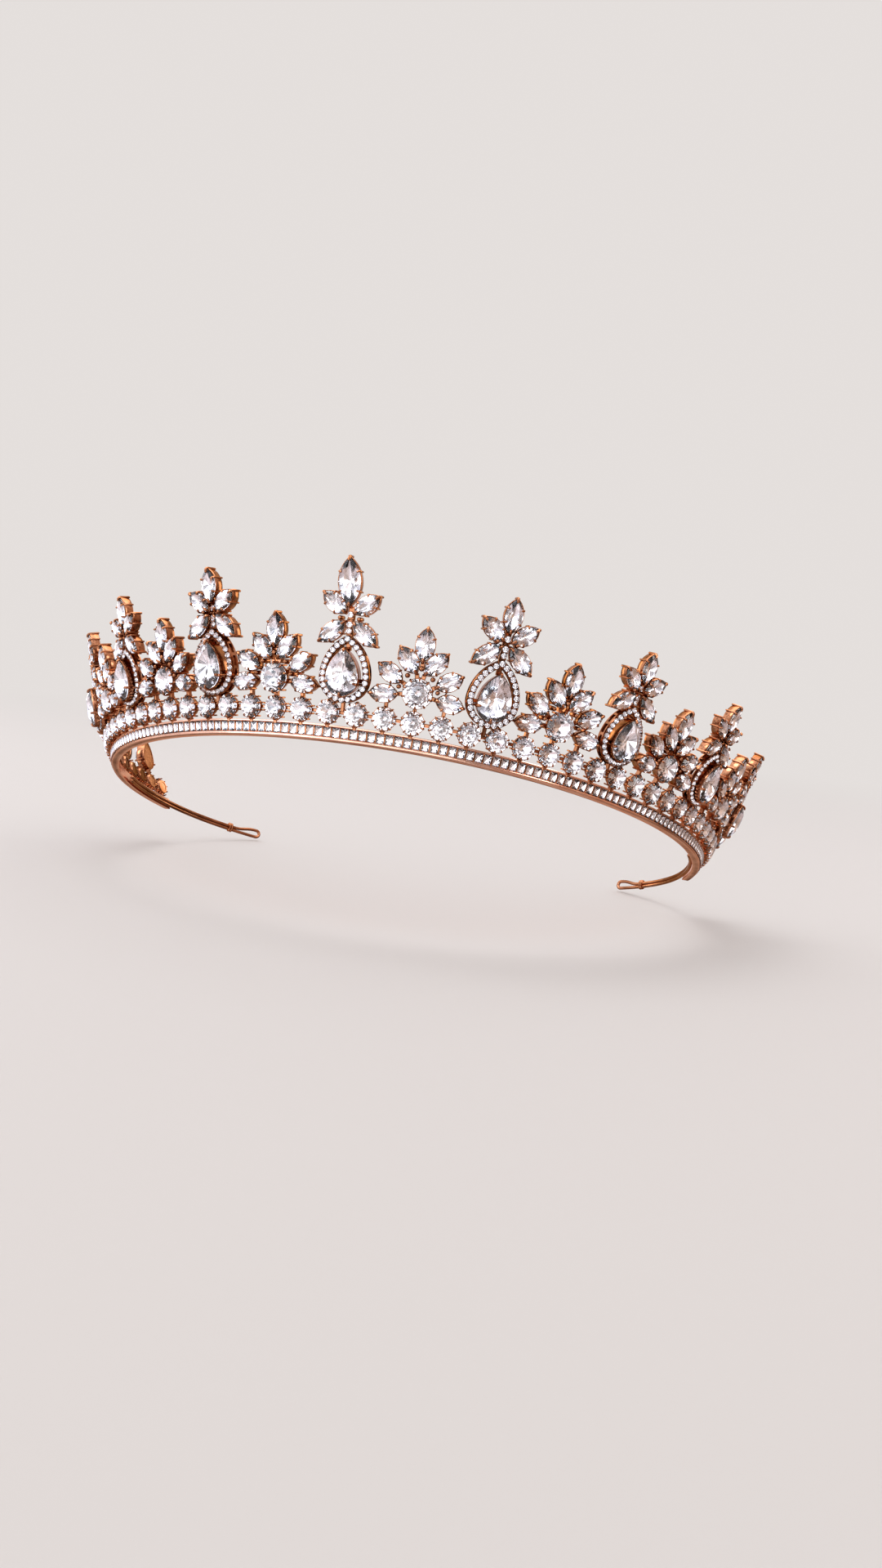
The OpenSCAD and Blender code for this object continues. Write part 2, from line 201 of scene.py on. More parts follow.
def spire_place(k):
    """The place of a spire, numbered from the middle and scaled about its foot."""
    return at(MOTIF_EVERY * k) @ shift(0, FOOT_Y) @ grow(SPIRE_SCALES[abs(k)]) @ shift(0, -FOOT_Y)


def on_leaf(leaf):
    """The middle of a leaf, with Y toward its tip."""
    base_x, base_y, tip_x, tip_y, _ = leaf
    angle = math.degrees(math.atan2(tip_y - base_y, tip_x - base_x)) - 90
    return shift((base_x + tip_x) / 2, (base_y + tip_y) / 2) @ turn_z(angle)


def leaf_length(leaf):
    return math.hypot(leaf[2] - leaf[0], leaf[3] - leaf[1])


def mirrored(leaf):
    return (-leaf[0], leaf[1], -leaf[2], leaf[3], leaf[4])


# --- Outlines: each takes a margin to grow by and gives points, counterclockwise --


def circle_outline(radius, count):
    def outline(margin):
        angles = np.arange(count) * 2 * math.pi / count
        size = radius + margin
        return np.stack([size * np.cos(angles), size * np.sin(angles)], axis=1)

    return outline


def lens_outline(length, width, per_side):
    """The pointed overlap of two circles, from its lower tip up the right side."""
    radius = (length**2 + width**2) / (4 * width)
    offset = radius - width / 2

    def outline(margin):
        size = radius + margin
        half = math.asin(math.sqrt(size**2 - offset**2) / size)
        angles = np.linspace(-half, half, per_side + 1)[:-1]
        right = np.stack([size * np.cos(angles) - offset, size * np.sin(angles)], axis=1)
        return np.concatenate([right, -right])

    return outline


def pear_outline(radius, height, per_side):
    """A round end, from its bottom up the right side to the tip at y = height."""
    side_radius = (height**2 + radius**2) / (2 * radius)
    offset = side_radius - radius
    low_share = 0.5 * math.pi * radius
    side_share = side_radius * math.asin(height / side_radius)

    def outline(margin):
        low_size, side_size = radius + margin, side_radius + margin
        half = math.asin(math.sqrt(side_size**2 - offset**2) / side_size)
        along = np.linspace(0, low_share + side_share, per_side + 1)
        low = along < low_share
        low_angles = along / radius - math.pi / 2
        side_angles = (along - low_share) / side_share * half
        x = np.where(low, low_size * np.cos(low_angles), side_size * np.cos(side_angles) - offset)
        y = np.where(low, low_size * np.sin(low_angles), side_size * np.sin(side_angles))
        right = np.stack([x, y], axis=1)
        left = right[1:-1][::-1] * (-1, 1)
        return np.concatenate([right, left])

    return outline


def square_outline(width, height):
    """Corners and middles of the sides, starting at a corner."""

    def outline(margin):
        x, y = width / 2 + margin, height / 2 + margin
        return np.array([(x, y), (0, y), (-x, y), (-x, 0), (-x, -y), (0, -y), (x, -y), (x, 0)], float)

    return outline


def spread(outline, share):
    """The point at a share of a closed outline's length, and its outward normal."""
    points = outline(0)
    loop = np.concatenate([points, points[:1]])
    steps = np.linalg.norm(np.diff(loop, axis=0), axis=1)
    along = np.concatenate([[0], np.cumsum(steps)])
    where = (share % 1) * along[-1]
    i = min(int(np.searchsorted(along, where, side="right")) - 1, len(steps) - 1)
    past = (where - along[i]) / steps[i]
    tangent = (loop[i + 1] - loop[i]) / steps[i]
    return loop[i] * (1 - past) + loop[i + 1] * past, np.array((tangent[1], -tangent[0]))


# --- Building pieces ----------------------------------------------------------


class Piece:
    """Faces of one named piece; it stands for the CAD node of the same name."""

    def __init__(self, node, finishes, slot):
        self.node = node
        self.finishes = finishes
        self.slot = slot
        self.points = []
        self.faces = []
        self.marks = []
        self.count = 0

    def add(self, points, faces, place=None, finish=0):
        """Adds faces; finish is the number of their finish, or a list with one for each."""
        points = np.asarray(points, float)
        flip = False
        if place is not None:
            points = points @ place[:3, :3].T + place[:3, 3]
            flip = np.linalg.det(place[:3, :3]) < 0
        for face in faces:
            corners = [self.count + i for i in face]
            self.faces.append(corners[::-1] if flip else corners)
        self.marks += np.broadcast_to(finish, len(faces)).tolist()
        self.points.append(points)
        self.count += len(points)

    def make(self, smooth_under=None):
        """One mesh object in metres; faces that meet at less than an angle are smooth."""
        mesh = bpy.data.meshes.new(self.node + "_detail")
        mesh.from_pydata((np.concatenate(self.points) * MM).tolist(), [], self.faces)
        for finish in self.finishes:
            mesh.materials.append(finish)
        mesh.polygons.foreach_set("material_index", self.marks)
        if smooth_under:
            mesh.polygons.foreach_set("use_smooth", [True] * len(mesh.polygons))
            mesh.set_sharp_from_angle(angle=math.radians(smooth_under))
        mesh.validate()
        mesh.update()
        thing = bpy.data.objects.new(self.node + "_detail", mesh)
        bpy.context.scene.collection.objects.link(thing)
        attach(thing, "root")
        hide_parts(self.node)
        return thing


def loft(piece, rings, place=None, looped=False, caps=False, finish=0):
    """Joins rings of points, each counterclockwise seen from the far end."""
    count, size = len(rings), len(rings[0])
    faces = []
    for i in range(count if looped else count - 1):
        a, b = i * size, (i + 1) % count * size
        faces += [(a + j, a + (j + 1) % size, b + (j + 1) % size, b + j) for j in range(size)]
    if caps:
        faces.append(tuple(range(size))[::-1])
        faces.append(tuple(range((count - 1) * size, count * size)))
    piece.add(np.concatenate(rings), faces, place, finish)


def level(points, height):
    return np.column_stack([points, np.full(len(points), height)])


def collar(piece, outline, section, place):
    """A wall around an outline; its section is a closed loop of (margin, height), clockwise."""
    loft(piece, [level(outline(margin), height) for margin, height in section], place, looped=True)


def plate(piece, outline, margin, height, place):
    """Closes the back of a setting."""
    points = level(outline(margin), height)
    piece.add(points, [tuple(range(len(points)))[::-1]], place)


def tube(piece, path, radii, sides, place):
    """A round rod along a path, closed by a rounded end at each side."""
    path = np.asarray(path, float)
    radii = np.broadcast_to(np.asarray(radii, float), len(path))
    tangents = np.gradient(path, axis=0)
    tangents /= np.linalg.norm(tangents, axis=1)[:, None]
    side = np.cross(tangents[0], (0.31, 0.17, 0.93))
    side /= np.linalg.norm(side)
    angles = np.arange(sides) * 2 * math.pi / sides
    rings = []
    for i, (point, tangent, r) in enumerate(zip(path, tangents, radii)):
        side = side - tangent * side.dot(tangent)
        side /= np.linalg.norm(side)
        other = np.cross(tangent, side)
        circle = np.outer(np.cos(angles), side) + np.outer(np.sin(angles), other)
        if i == 0:
            rings += [point - tangent * r * past + circle * r * thick for past, thick in ROD_TIP]
        rings.append(point + circle * r)
        if i == len(path) - 1:
            rings += [point + tangent * r * past + circle * r * thick for past, thick in ROD_TIP[::-1]]
    loft(piece, rings, place, caps=True)


def ball(piece, centre, radius, place):
    x, y, z = centre
    angles = np.arange(BALL_SIDES) * 2 * math.pi / BALL_SIDES
    rings = []
    for lift in BALL_LIFTS:
        cosine, sine = math.cos(math.radians(lift)), math.sin(math.radians(lift))
        circle = [x + radius * cosine * np.cos(angles), y + radius * cosine * np.sin(angles)]
        rings.append(np.column_stack([*circle, np.full(BALL_SIDES, z + radius * sine)]))
    loft(piece, rings, place, caps=True)


def bar(piece, start, end, width, back, top, place, bevel=0.12):
    """A straight bar between two points of the lean's plane, with softened edges."""
    (x0, y0), (x1, y1) = start, end
    length = math.hypot(x1 - x0, y1 - y0)
    lie = place @ shift(x0, y0) @ turn_z(math.degrees(math.atan2(y1 - y0, x1 - x0)))
    half = width / 2
    section = [
        (-half + bevel, back), (half - bevel, back), (half, back + bevel), (half, top - bevel),
        (half - bevel, top), (-half + bevel, top), (-half, top - bevel), (-half, back + bevel),
    ]
    ring = np.array([(0, y, z) for y, z in section])
    loft(piece, [ring, ring + (length, 0, 0)], lie, caps=True)


def claw(piece, foot, inward, back, seat, place, radius, reach, rise):
    """A prong that stands beside a stone and bends over its edge."""
    bends = (  # share of the reach, height and thickness
        (0, back, 0.9),
        (0, seat - 0.2, 1),
        (0.1, seat + 0.3 * rise, 1.05),
        (0.45, seat + 0.8 * rise, 1),
        (1, seat + rise, 0.85),
    )
    path = [(*(foot + inward * reach * share), height) for share, height, _ in bends]
    tube(piece, path, [radius * thick for _, _, thick in bends], 8, place)


def brilliant(piece, outline, crown, pavilion, place, table=0.56, star=0.8, girdle=GIRDLE):
    """A cut stone on z = 0: table, stars, kites and girdle facets over a foiled pavilion.

    The outline has two points for each kite, and kites stand on the even ones."""
    rim = outline(0)
    n = len(rim) // 2
    middle = np.array((0, (rim[:, 1].max() + rim[:, 1].min()) / 2))
    slack = math.cos(math.pi / n) if n > 4 else 0.8
    star_lift = (1 - star * slack) / (1 - table)
    points = np.concatenate([
        level(middle + table * (rim[::2] - middle), girdle + crown),
        level(middle + star * (rim[1::2] - middle), girdle + crown * star_lift),
        level(rim, girdle),
        level(rim, 0),
        level(middle + LOW_SHARE * (rim[1::2] - middle), -pavilion * (1 - LOW_SHARE * slack)),
        [(*middle, -pavilion)],
    ])
    stars, top, under, lows, culet = n, 2 * n, 4 * n, 6 * n, 7 * n
    crown_faces = [tuple(range(n))]
    foil_faces = []
    for i in range(n):
        j, before = (i + 1) % n, (i - 1) % n
        main, mid, after = 2 * i, 2 * i + 1, 2 * j
        crown_faces += [
            (i, stars + i, j),
            (i, stars + before, top + main),
            (i, top + main, stars + i),
            (stars + i, top + main, top + mid),
            (stars + i, top + mid, top + after),
            (under + main, under + mid, top + mid, top + main),
            (under + mid, under + after, top + after, top + mid),
        ]
        foil_faces += [
            (under + main, lows + before, culet),
            (under + main, culet, lows + i),
            (lows + i, under + mid, under + main),
            (lows + i, under + after, under + mid),
        ]
    finish = [0] * len(crown_faces) + [1] * len(foil_faces)
    piece.add(points, crown_faces + foil_faces, place, finish)


# --- Materials ----------------------------------------------------------------


def new_material(name):
    material = bpy.data.materials.new(name)
    material.use_nodes = True
    return material, material.node_tree.nodes, material.node_tree.links


def map_range(nodes, low, high, to_low, to_high):
    """Turns values between low and high into values between to_low and to_high."""
    node = nodes.new("ShaderNodeMapRange")
    node.inputs["From Min"].default_value = low
    node.inputs["From Max"].default_value = high
    node.inputs["To Min"].default_value = to_low
    node.inputs["To Max"].default_value = to_high
    return node


def colour_ramp(nodes, stops):
    """A ramp through colours, each given with its position."""
    node = nodes.new("ShaderNodeValToRGB")
    elements = node.color_ramp.elements
    while len(elements) < len(stops):
        elements.new(0.5)
    for element, (position, colour) in zip(elements, stops):
        element.position = position
        element.color = (*colour, 1)
    return node


def math_node(nodes, kind, operation):
    node = nodes.new(kind)
    node.operation = operation
    return node


def rose_gold(name, dark, pale):
    """Plated metal, a little uneven in tone and polish."""
    material, nodes, links = new_material(name)
    shader = nodes["Principled BSDF"]
    shader.inputs["Metallic"].default_value = 1
    shader.inputs["Specular Tint"].default_value = (1, 0.62, 0.42, 1)
    where = nodes.new("ShaderNodeTexCoord")
    noise = nodes.new("ShaderNodeTexNoise")
    noise.inputs["Scale"].default_value = 180
    noise.inputs["Detail"].default_value = 4
    tone = colour_ramp(nodes, ((0.3, dark), (0.7, pale)))
    polish = map_range(nodes, 0, 1, 0.1, 0.26)
    grain_noise = nodes.new("ShaderNodeTexNoise")
    grain_noise.inputs["Scale"].default_value = 900
    bump = nodes.new("ShaderNodeBump")
    bump.inputs["Strength"].default_value = 0.12
    bump.inputs["Distance"].default_value = 0.0002
    links.new(where.outputs["Object"], noise.inputs["Vector"])
    links.new(where.outputs["Object"], grain_noise.inputs["Vector"])
    links.new(noise.outputs["Fac"], tone.inputs["Fac"])
    links.new(noise.outputs["Fac"], polish.inputs["Value"])
    links.new(grain_noise.outputs["Fac"], bump.inputs["Height"])
    links.new(tone.outputs["Color"], shader.inputs["Base Color"])
    links.new(polish.outputs["Result"], shader.inputs["Roughness"])
    links.new(bump.outputs["Normal"], shader.inputs["Normal"])
    return material


def crystal():
    """The clear top of a stone."""
    material, nodes, _ = new_material("crystal")
    shader = nodes["Principled BSDF"]
    shader.inputs["Base Color"].default_value = (0.98, 0.985, 1, 1)
    shader.inputs["Roughness"].default_value = 0
    shader.inputs["IOR"].default_value = 1.6
    shader.inputs["Transmission Weight"].default_value = 1
    return material


def foil():
    """The mirrored back of a stone."""
    material, nodes, _ = new_material("foil")
    shader = nodes["Principled BSDF"]
    shader.inputs["Base Color"].default_value = (0.98, 0.98, 1, 1)
    shader.inputs["Metallic"].default_value = 1
    shader.inputs["Roughness"].default_value = 0.1
    return material


PAINTED_HIGHLIGHT_STRIP = 1  # the number of the band's paler finish: the same rose gold made lighter, a painted highlight on the strip's rails
# The second gold is the same plating painted paler, a painted highlight for the band's strip.
GOLD = [
    rose_gold("rose_gold", (0.2, 0.072, 0.031), (0.46, 0.208, 0.108)),
    rose_gold("rose_gold_painted_highlight", (0.76, 0.41, 0.29), (0.99, 0.67, 0.51)),
]
STONE = [crystal(), foil()]


def metal_piece(node):
    return Piece(node, GOLD, "rose_gold")


def stone_piece(node):
    return Piece(node, STONE, "clear_stone")


# --- Stones -------------------------------------------------------------------


def leaf_stone(piece, leaf, place):
    outline = lens_outline(leaf_length(leaf), leaf[4], 8)
    lie = place @ on_leaf(leaf) @ shift(0, 0, MOTIF_SEAT)
    brilliant(piece, outline, 0.55, 0.2 * leaf[4], lie, table=0.5, star=0.76)


def pear_stone(piece, place):
    brilliant(piece, pear_outline(PEAR_R, PEAR_H, 12), 1.1, 1.35, place, table=0.5, star=0.78)


def round_stone(piece, r, crown, pavilion, place):
    brilliant(piece, circle_outline(r, 16), crown, pavilion, place)


def small_stone(piece, r, place):
    brilliant(piece, circle_outline(r, 12), 0.28, 0.5, place, girdle=0.12)


# --- Settings -----------------------------------------------------------------


def leaf_setting(piece, leaf, place):
    """A tapered wall with a claw at each tip and two along each side."""
    lie = place @ on_leaf(leaf)
    length = leaf_length(leaf)
    outline = lens_outline(length, leaf[4], 14)
    top, back = MOTIF_SEAT, MOTIF_BACK
    section = [
        (-0.6, back), (-0.15, back), (0, back + 0.15), (0.16, top - 0.5),
        (0.16, top - 0.1), (0.11, top - LIP), (LIP, top - LIP), (-LEDGE, top - LEDGE_DROP),
    ]
    collar(piece, outline, section, lie)
    plate(piece, outline, -0.55, back + PLATE_LIFT, lie)
    for side in (-1, 1):
        foot = np.array((0, side * (length / 2 + TIP_GAP)))
        claw(piece, foot, np.array((0, -side)), back, top, lie, radius=0.3, reach=0.75, rise=0.62)
    for share in (0.16, 0.34, 0.66, 0.84):
        foot, out = spread(outline, share)
        claw(piece, foot + out * 0.14, -out, back, top, lie, radius=0.23, reach=0.45, rise=0.58)


def round_setting(piece, radius, back, top, place, claw_radius):
    """A tapered wall with claws all around."""
    outline = circle_outline(radius, 40)
    section = [
        (-1.1, back), (-0.6, back), (-0.45, back + 0.15), (0.1, top - 0.3),
        (0.1, top - 0.08), (0.06, top - LIP), (LIP, top - LIP), (-LEDGE, top - LEDGE_DROP),
    ]
    collar(piece, outline, section, place)
    plate(piece, outline, -1.05, back + PLATE_LIFT, place)
    for i in range(ROUND_CLAWS):
        angle = (i + 0.5) * 2 * math.pi / ROUND_CLAWS
        out = np.array((math.cos(angle), math.sin(angle)))
        foot = out * (radius + 0.12)
        claw(piece, foot, -out, back + 0.3, top, place, radius=claw_radius, reach=0.45, rise=0.5)


def pear_setting(piece, height, place):
    """A tall open wall around a pear stone, with a claw at the tip, the foot and each cheek."""
    outline = pear_outline(PEAR_R, PEAR_H, 24)
    section = [
        (-0.75, 0), (-0.3, 0), (-0.2, 0.2), (0.1, height - 0.5),
        (0.15, height - 0.1), (0.1, height), (LIP, height), (-LEDGE, height - LEDGE_DROP),
    ]
    collar(piece, outline, section, place)
    plate(piece, outline, -0.7, PLATE_LIFT, place)
    foot_share, tip_share = 0, 0.5
    for share in (foot_share, 0.18, tip_share, 0.82):
        foot, out = spread(outline, share)
        if share == tip_share:
            out = np.array((0, 1))
        claw(piece, foot + out * TIP_GAP, -out, 0, height, place, radius=0.3, reach=0.6, rise=0.68)


def halo_ring(piece, place):
    """The grooved ring that carries the halo stones, on an open gallery of posts."""
    outline = pear_outline(HALO_R, HALO_H, 40)
    half = HALO_RING / 2
    lie = place @ shift(0, HALO_Y)
    back, top = MOTIF_BACK, MOTIF_SEAT
    wall, groove, under, sill = 0.14, top - 0.55, top - 0.85, back + 0.55
    carrier = [
        (-half + 0.1, under), (half - 0.1, under), (half, under + 0.1), (half, top - 0.08),
        (half - 0.06, top), (half - wall, top - 0.06), (half - wall - 0.3, groove),
        (-half + wall + 0.3, groove), (-half + wall, top - 0.06), (-half + 0.06, top),
        (-half, top - 0.08), (-half, under + 0.1),
    ]
    collar(piece, outline, carrier, lie)
    base = [
        (-half + 0.15, back), (half - 0.15, back), (half, back + 0.15), (half, sill - 0.15),
        (half - 0.15, sill), (-half + 0.15, sill), (-half, sill - 0.15), (-half, back + 0.15),
    ]
    collar(piece, outline, base, lie)
    for i in range(GALLERY_POSTS):
        foot, out = spread(outline, i / GALLERY_POSTS)
        start, end = foot - out * half * 0.9, foot + out * half * 0.9
        bar(piece, start, end, 0.6, sill - 0.1, under + 0.1, lie, bevel=0.05)
    for i in range(HALO_COUNT):
        foot, out = spread(outline, (i + 0.5) / HALO_COUNT)
        for side in (-1, 1):
            ball(piece, (*(foot + out * side * 0.5), top + 0.12), 0.17, lie)


def grain(piece, x, y, r, place):
    """A round-headed post of metal between the leaves."""
    tube(piece, [(x, y, MOTIF_BACK), (x, y, MOTIF_SEAT + 0.1)], [r, r * 0.9], 12, place)


# --- Band, channel and row ----------------------------------------------------


def rounded(points, radius):
    """A closed polygon with its corners rounded off."""
    points = [np.array(point, float) for point in points]
    smooth = []
    for before, corner, after in zip(points[-1:] + points[:-1], points, points[1:] + points[:1]):
        start, end = before - corner, after - corner
        start = corner + start / np.linalg.norm(start) * radius
        end = corner + end / np.linalg.norm(end) * radius
        for t in np.linspace(0, 1, CORNER_STEPS):
            smooth.append((1 - t) ** 2 * start + 2 * t * (1 - t) * corner + t * t * end)
    return np.array(smooth)


def band():
    """The strip with its channel, and the dividers and beads between the channel stones."""
    piece = metal_piece("band")
    low, high, top = LOWER_RAIL, BAND_HEIGHT - UPPER_RAIL, BAND_HEIGHT
    section = rounded([
        (0, 0), (low * LEAN, low), (low * LEAN - CHANNEL_DEPTH, low),
        (high * LEAN - CHANNEL_DEPTH, high), (high * LEAN, high), (top * LEAN, top),
        (top * LEAN - BAND_THICKNESS, top), (-BAND_THICKNESS, 0)], 0.14)
    rings = []
    for degrees in np.linspace(-BAND_HALF_ANGLE, BAND_HALF_ANGLE, BAND_RINGS):
        angle = math.radians(degrees)
        out = BAND_RADIUS + section[:, 0]
        x, y = out * math.sin(angle), CENTRE_Y - out * math.cos(angle)
        rings.append(np.column_stack([x, y, section[:, 1]]))
    # The strip wears the paler gold, a painted highlight on its rails.
    loft(piece, rings, caps=True, finish=PAINTED_HIGHLIGHT_STRIP)
    step, tall = channel_step()
    for i in range(CHANNEL_COUNT + 1):
        place = channel_place(i - 0.5, step)
        ends = (0, -tall / 2), (0, tall / 2)
        bar(piece, *ends, DIVIDER_WIDTH, DIVIDER_BACK, DIVIDER_TOP, place, bevel=0.06)
        for side in (-1, 1):
            ball(piece, (0, side * (tall / 2 - 0.2), 0.02), DIVIDER_BEAD, place)
    return piece.make(METAL_SMOOTH)


def channel_step():
    """Degrees from one channel stone to the next, and the channel's height along the lean."""
    tall = (BAND_HEIGHT - UPPER_RAIL - LOWER_RAIL) / math.cos(FLARE) - CHANNEL_PLAY
    return 2 * (BAND_HALF_ANGLE - CHANNEL_END) / CHANNEL_COUNT, tall


def channel_place(i, step):
    """The place of a channel stone, numbered from the band's left-hand end."""
    mid = (LOWER_RAIL + BAND_HEIGHT - UPPER_RAIL) / 2
    return stand((i - (CHANNEL_COUNT - 1) / 2) * step, BAND_RADIUS + mid * LEAN, mid)


def channel_stones():
    piece = stone_piece("channel_stones")
    step, tall = channel_step()
    outline = square_outline(CHANNEL_STONE - 0.12, tall - 0.1)
    for i in range(CHANNEL_COUNT):
        place = channel_place(i, step) @ shift(0, 0, -0.02)
        brilliant(piece, outline, 0.08, 0.3, place, table=0.7, star=0.9, girdle=0.04)
    return piece.make()


def row_settings():
    """The settings, each on a leg with two struts, and the links between them."""
    piece = metal_piece("row_settings")
    low = ROW_HEIGHT - ROW_R
    for i in np.arange(-ROW_LAST, ROW_LAST + 1):
        place = at(i) @ shift(0, ROW_HEIGHT)
        round_setting(piece, ROW_R, ROW_SEAT - ROW_DEPTH, ROW_SEAT, place, claw_radius=0.2)
        bar(piece, (0, low + 0.3), (0, 2.6), 0.8, -0.9, 0.1, at(i))
        for side in (-1, 1):
            strut = [(side * 1.0, low + 0.15, 0.1), (side * 0.55, 3.6, 0.05), (side * 0.2, 3.0, -0.05)]
            tube(piece, strut, [0.22, 0.24, 0.2], 8, at(i))
    for i in np.arange(-ROW_LAST, ROW_LAST):
        place = at(i + 0.5)
        bar(piece, (-0.75, ROW_HEIGHT), (0.75, ROW_HEIGHT), 0.7, -0.9, -0.1, place)
    return piece.make(METAL_SMOOTH)


def row_stones():
    piece = stone_piece("row_stones")
    for i in np.arange(-ROW_LAST, ROW_LAST + 1):
        round_stone(piece, ROW_R, 0.75, 0.95, at(i) @ shift(0, ROW_HEIGHT, ROW_SEAT))
    return piece.make()


# --- Spires -------------------------------------------------------------------


def top_leaf(k):
    """The top leaf of a spire; the middle spire and its left neighbour lean theirs a little."""
    base_x, base_y, tip_x, tip_y, width = CREST_LEAF if k == 0 else TOP_LEAF
    tilt = turn_z(TOP_LEANS[k + 4])[:2, :2]
    base = tilt @ (base_x, base_y - LEAN_Y)
    tip = tilt @ (tip_x, tip_y - LEAN_Y)
    return base[0], base[1] + LEAN_Y, tip[0], tip[1] + LEAN_Y, width


def side_leaves(k):
    upper = tuple(x * CREST_SPREAD for x in UPPER_LEAF) if k == 0 else UPPER_LEAF
    both = (upper, LOWER_LEAF)
    return both + tuple(mirrored(leaf) for leaf in both)


def spire_frame(number):
    """The halo ring, the settings, and the bars, beads and grains that join them."""
    k = number - 5
    piece = metal_piece(f"spire_{number}_frame")
    place = spire_place(k)
    halo_ring(piece, place)
    pear_setting(piece, PEAR_SEAT - MOTIF_BACK, place @ shift(0, PEAR_Y, MOTIF_BACK))
    for side in (-1, 1):
        bar(piece, (side * 3, PEAR_Y), (side * 4.2, PEAR_Y), 0.8, MOTIF_BACK, BRIDGE_FRONT, place)
    bar(piece, (0, PEAR_Y + PEAR_H - 0.4), (0, HALO_Y + HALO_H), 1, MOTIF_BACK, BRIDGE_FRONT, place)
    bar(piece, (0, 8.2), (0, 9.6), 1, MOTIF_BACK, BRIDGE_FRONT, place)
    leg_place = at(MOTIF_EVERY * k)
    bar(piece, (0, 8.9), (0, ROW_HEIGHT + 0.35), 0.75, MOTIF_BACK, LEG_FRONT, leg_place)
    bar(piece, (0, 21.1), (0, 27.6), STEM_W, MOTIF_BACK, STEM_FRONT, place)
    cup = [(-0.3, 0.3), (0.06, 0.3), (0.1, 0.9), (0.07, STEM_SEAT), (LIP, STEM_SEAT), (-0.3, 0.6)]
    for height, radius in STEM_STONES:
        collar(piece, circle_outline(radius, 16), cup, place @ shift(0, height))
    leaf_setting(piece, top_leaf(k), place)
    for leaf in side_leaves(k):
        leaf_setting(piece, leaf, place)
    for side in (-1, 1):
        grain(piece, side * 2, 25.1, 0.5, place)
        for height in STEM_BEADS:
            ball(piece, (side * 0.42, height, 1.1), 0.2, place)
    return piece.make(METAL_SMOOTH)


def spire_pear(number):
    piece = stone_piece(f"spire_{number}_pear")
    pear_stone(piece, spire_place(number - 5) @ shift(0, PEAR_Y, PEAR_SEAT))
    return piece.make()


def spire_halo_stones(number):
    piece = stone_piece(f"spire_{number}_halo_stones")
    outline = pear_outline(HALO_R, HALO_H, 60)
    for i in range(HALO_COUNT):
        foot, _ = spread(outline, i / HALO_COUNT)
        place = spire_place(number - 5) @ shift(foot[0], HALO_Y + foot[1], MOTIF_SEAT)
        small_stone(piece, HALO_STONE_R, place @ turn_z(HALO_TURN * i))
    return piece.make()


def spire_stones():
    """The leaf and stem stones of all spires; the middle spire's top stone is its own piece."""
    crest, leaves, stems = (stone_piece("spire_" + name)
                            for name in ("crest_stone", "leaf_stones", "stem_stones"))
    for k in range(-4, 5):
        place = spire_place(k)
        leaf_stone(crest if k == 0 else leaves, top_leaf(k), place)
        for leaf in side_leaves(k):
            leaf_stone(leaves, leaf, place)
        for height, radius in STEM_STONES:
            small_stone(stems, radius, place @ shift(0, height, STEM_SEAT))
    for piece in (crest, leaves, stems):
        piece.make()


# --- Fans and end motifs ------------------------------------------------------


def fan_leaves():
    return (FAN_TOP, *FAN_LEAVES, *(mirrored(leaf) for leaf in FAN_LEAVES))


def fan_index(number):
    """A fan stands midway between two spires."""
    return MOTIF_EVERY * (number - 5) + MOTIF_EVERY / 2


def fan_frame(number):
    """The settings around the middle one, the ribs and grains between them, and three legs."""
    piece = metal_piece(f"fan_{number}_frame")
    index = fan_index(number)
    place = at(index)
    middle = place @ shift(0, FAN_Y)
    round_setting(piece, FAN_ROUND_R, MOTIF_BACK, MOTIF_SEAT, middle, claw_radius=0.22)
    for leaf in fan_leaves():
        leaf_setting(piece, leaf, place)
        start = (RIB_START * leaf[0], FAN_Y + RIB_START * (leaf[1] - FAN_Y))
        bar(piece, start, leaf[:2], 0.9, MOTIF_BACK, 0.6, place)
    grain(piece, 0, 17.1, 0.6, place)
    for side in (-1, 1):
        for x, y, radius in FAN_SIDE_GRAINS:
            grain(piece, side * x, y, radius, place)
    for j in (-1, 0, 1):
        bar(piece, (0, 10.2), (0, LEG_FOOT), 0.8, MOTIF_BACK, LEG_FRONT, at(index + j))
    return piece.make(METAL_SMOOTH)


def fan_round(number):
    piece = stone_piece(f"fan_{number}_round")
    round_stone(piece, FAN_ROUND_R, 1, 1.25, at(fan_index(number)) @ shift(0, FAN_Y, MOTIF_SEAT))
    return piece.make()


def fan_leaf_stones():
    piece = stone_piece("fan_leaf_stones")
    for number in range(1, 9):
        for leaf in fan_leaves():
            leaf_stone(piece, leaf, at(fan_index(number)))
    return piece.make()


def end_place(side):
    return at(side * (ROW_LAST - 1)) @ shift(0, END_Y, MOTIF_BACK) @ grow(END_SCALE)


def end_motifs():
    """The single pear at each end of the row."""
    stones = stone_piece("end_pears")
    for side, name in ((-1, "left"), (1, "right")):
        piece = metal_piece(f"end_frame_{name}")
        pear_setting(piece, MOTIF_SEAT - MOTIF_BACK, end_place(side))
        leg_place = at(side * (ROW_LAST - 1))
        bar(piece, (0, 10), (0, LEG_FOOT), 0.8, MOTIF_BACK, LEG_FRONT, leg_place)
        piece.make(METAL_SMOOTH)
        pear_stone(stones, end_place(side) @ shift(0, 0, MOTIF_SEAT - MOTIF_BACK))
    stones.make()


# --- Hair wires ---------------------------------------------------------------


def bend_place(angle):
    """A place on the wire's bend behind the band's right-hand end: X runs along the wire."""
    return (shift(0, CENTRE_Y) @ turn_z(BAND_HALF_ANGLE) @ shift(0, -LAP_R + BEND_R)
            @ turn_z(angle) @ shift(0, -BEND_R))


def ease(x, low, high):
    t = min(max((x - low) / (high - low), 0), 1)
    return t * t * (3 - 2 * t)


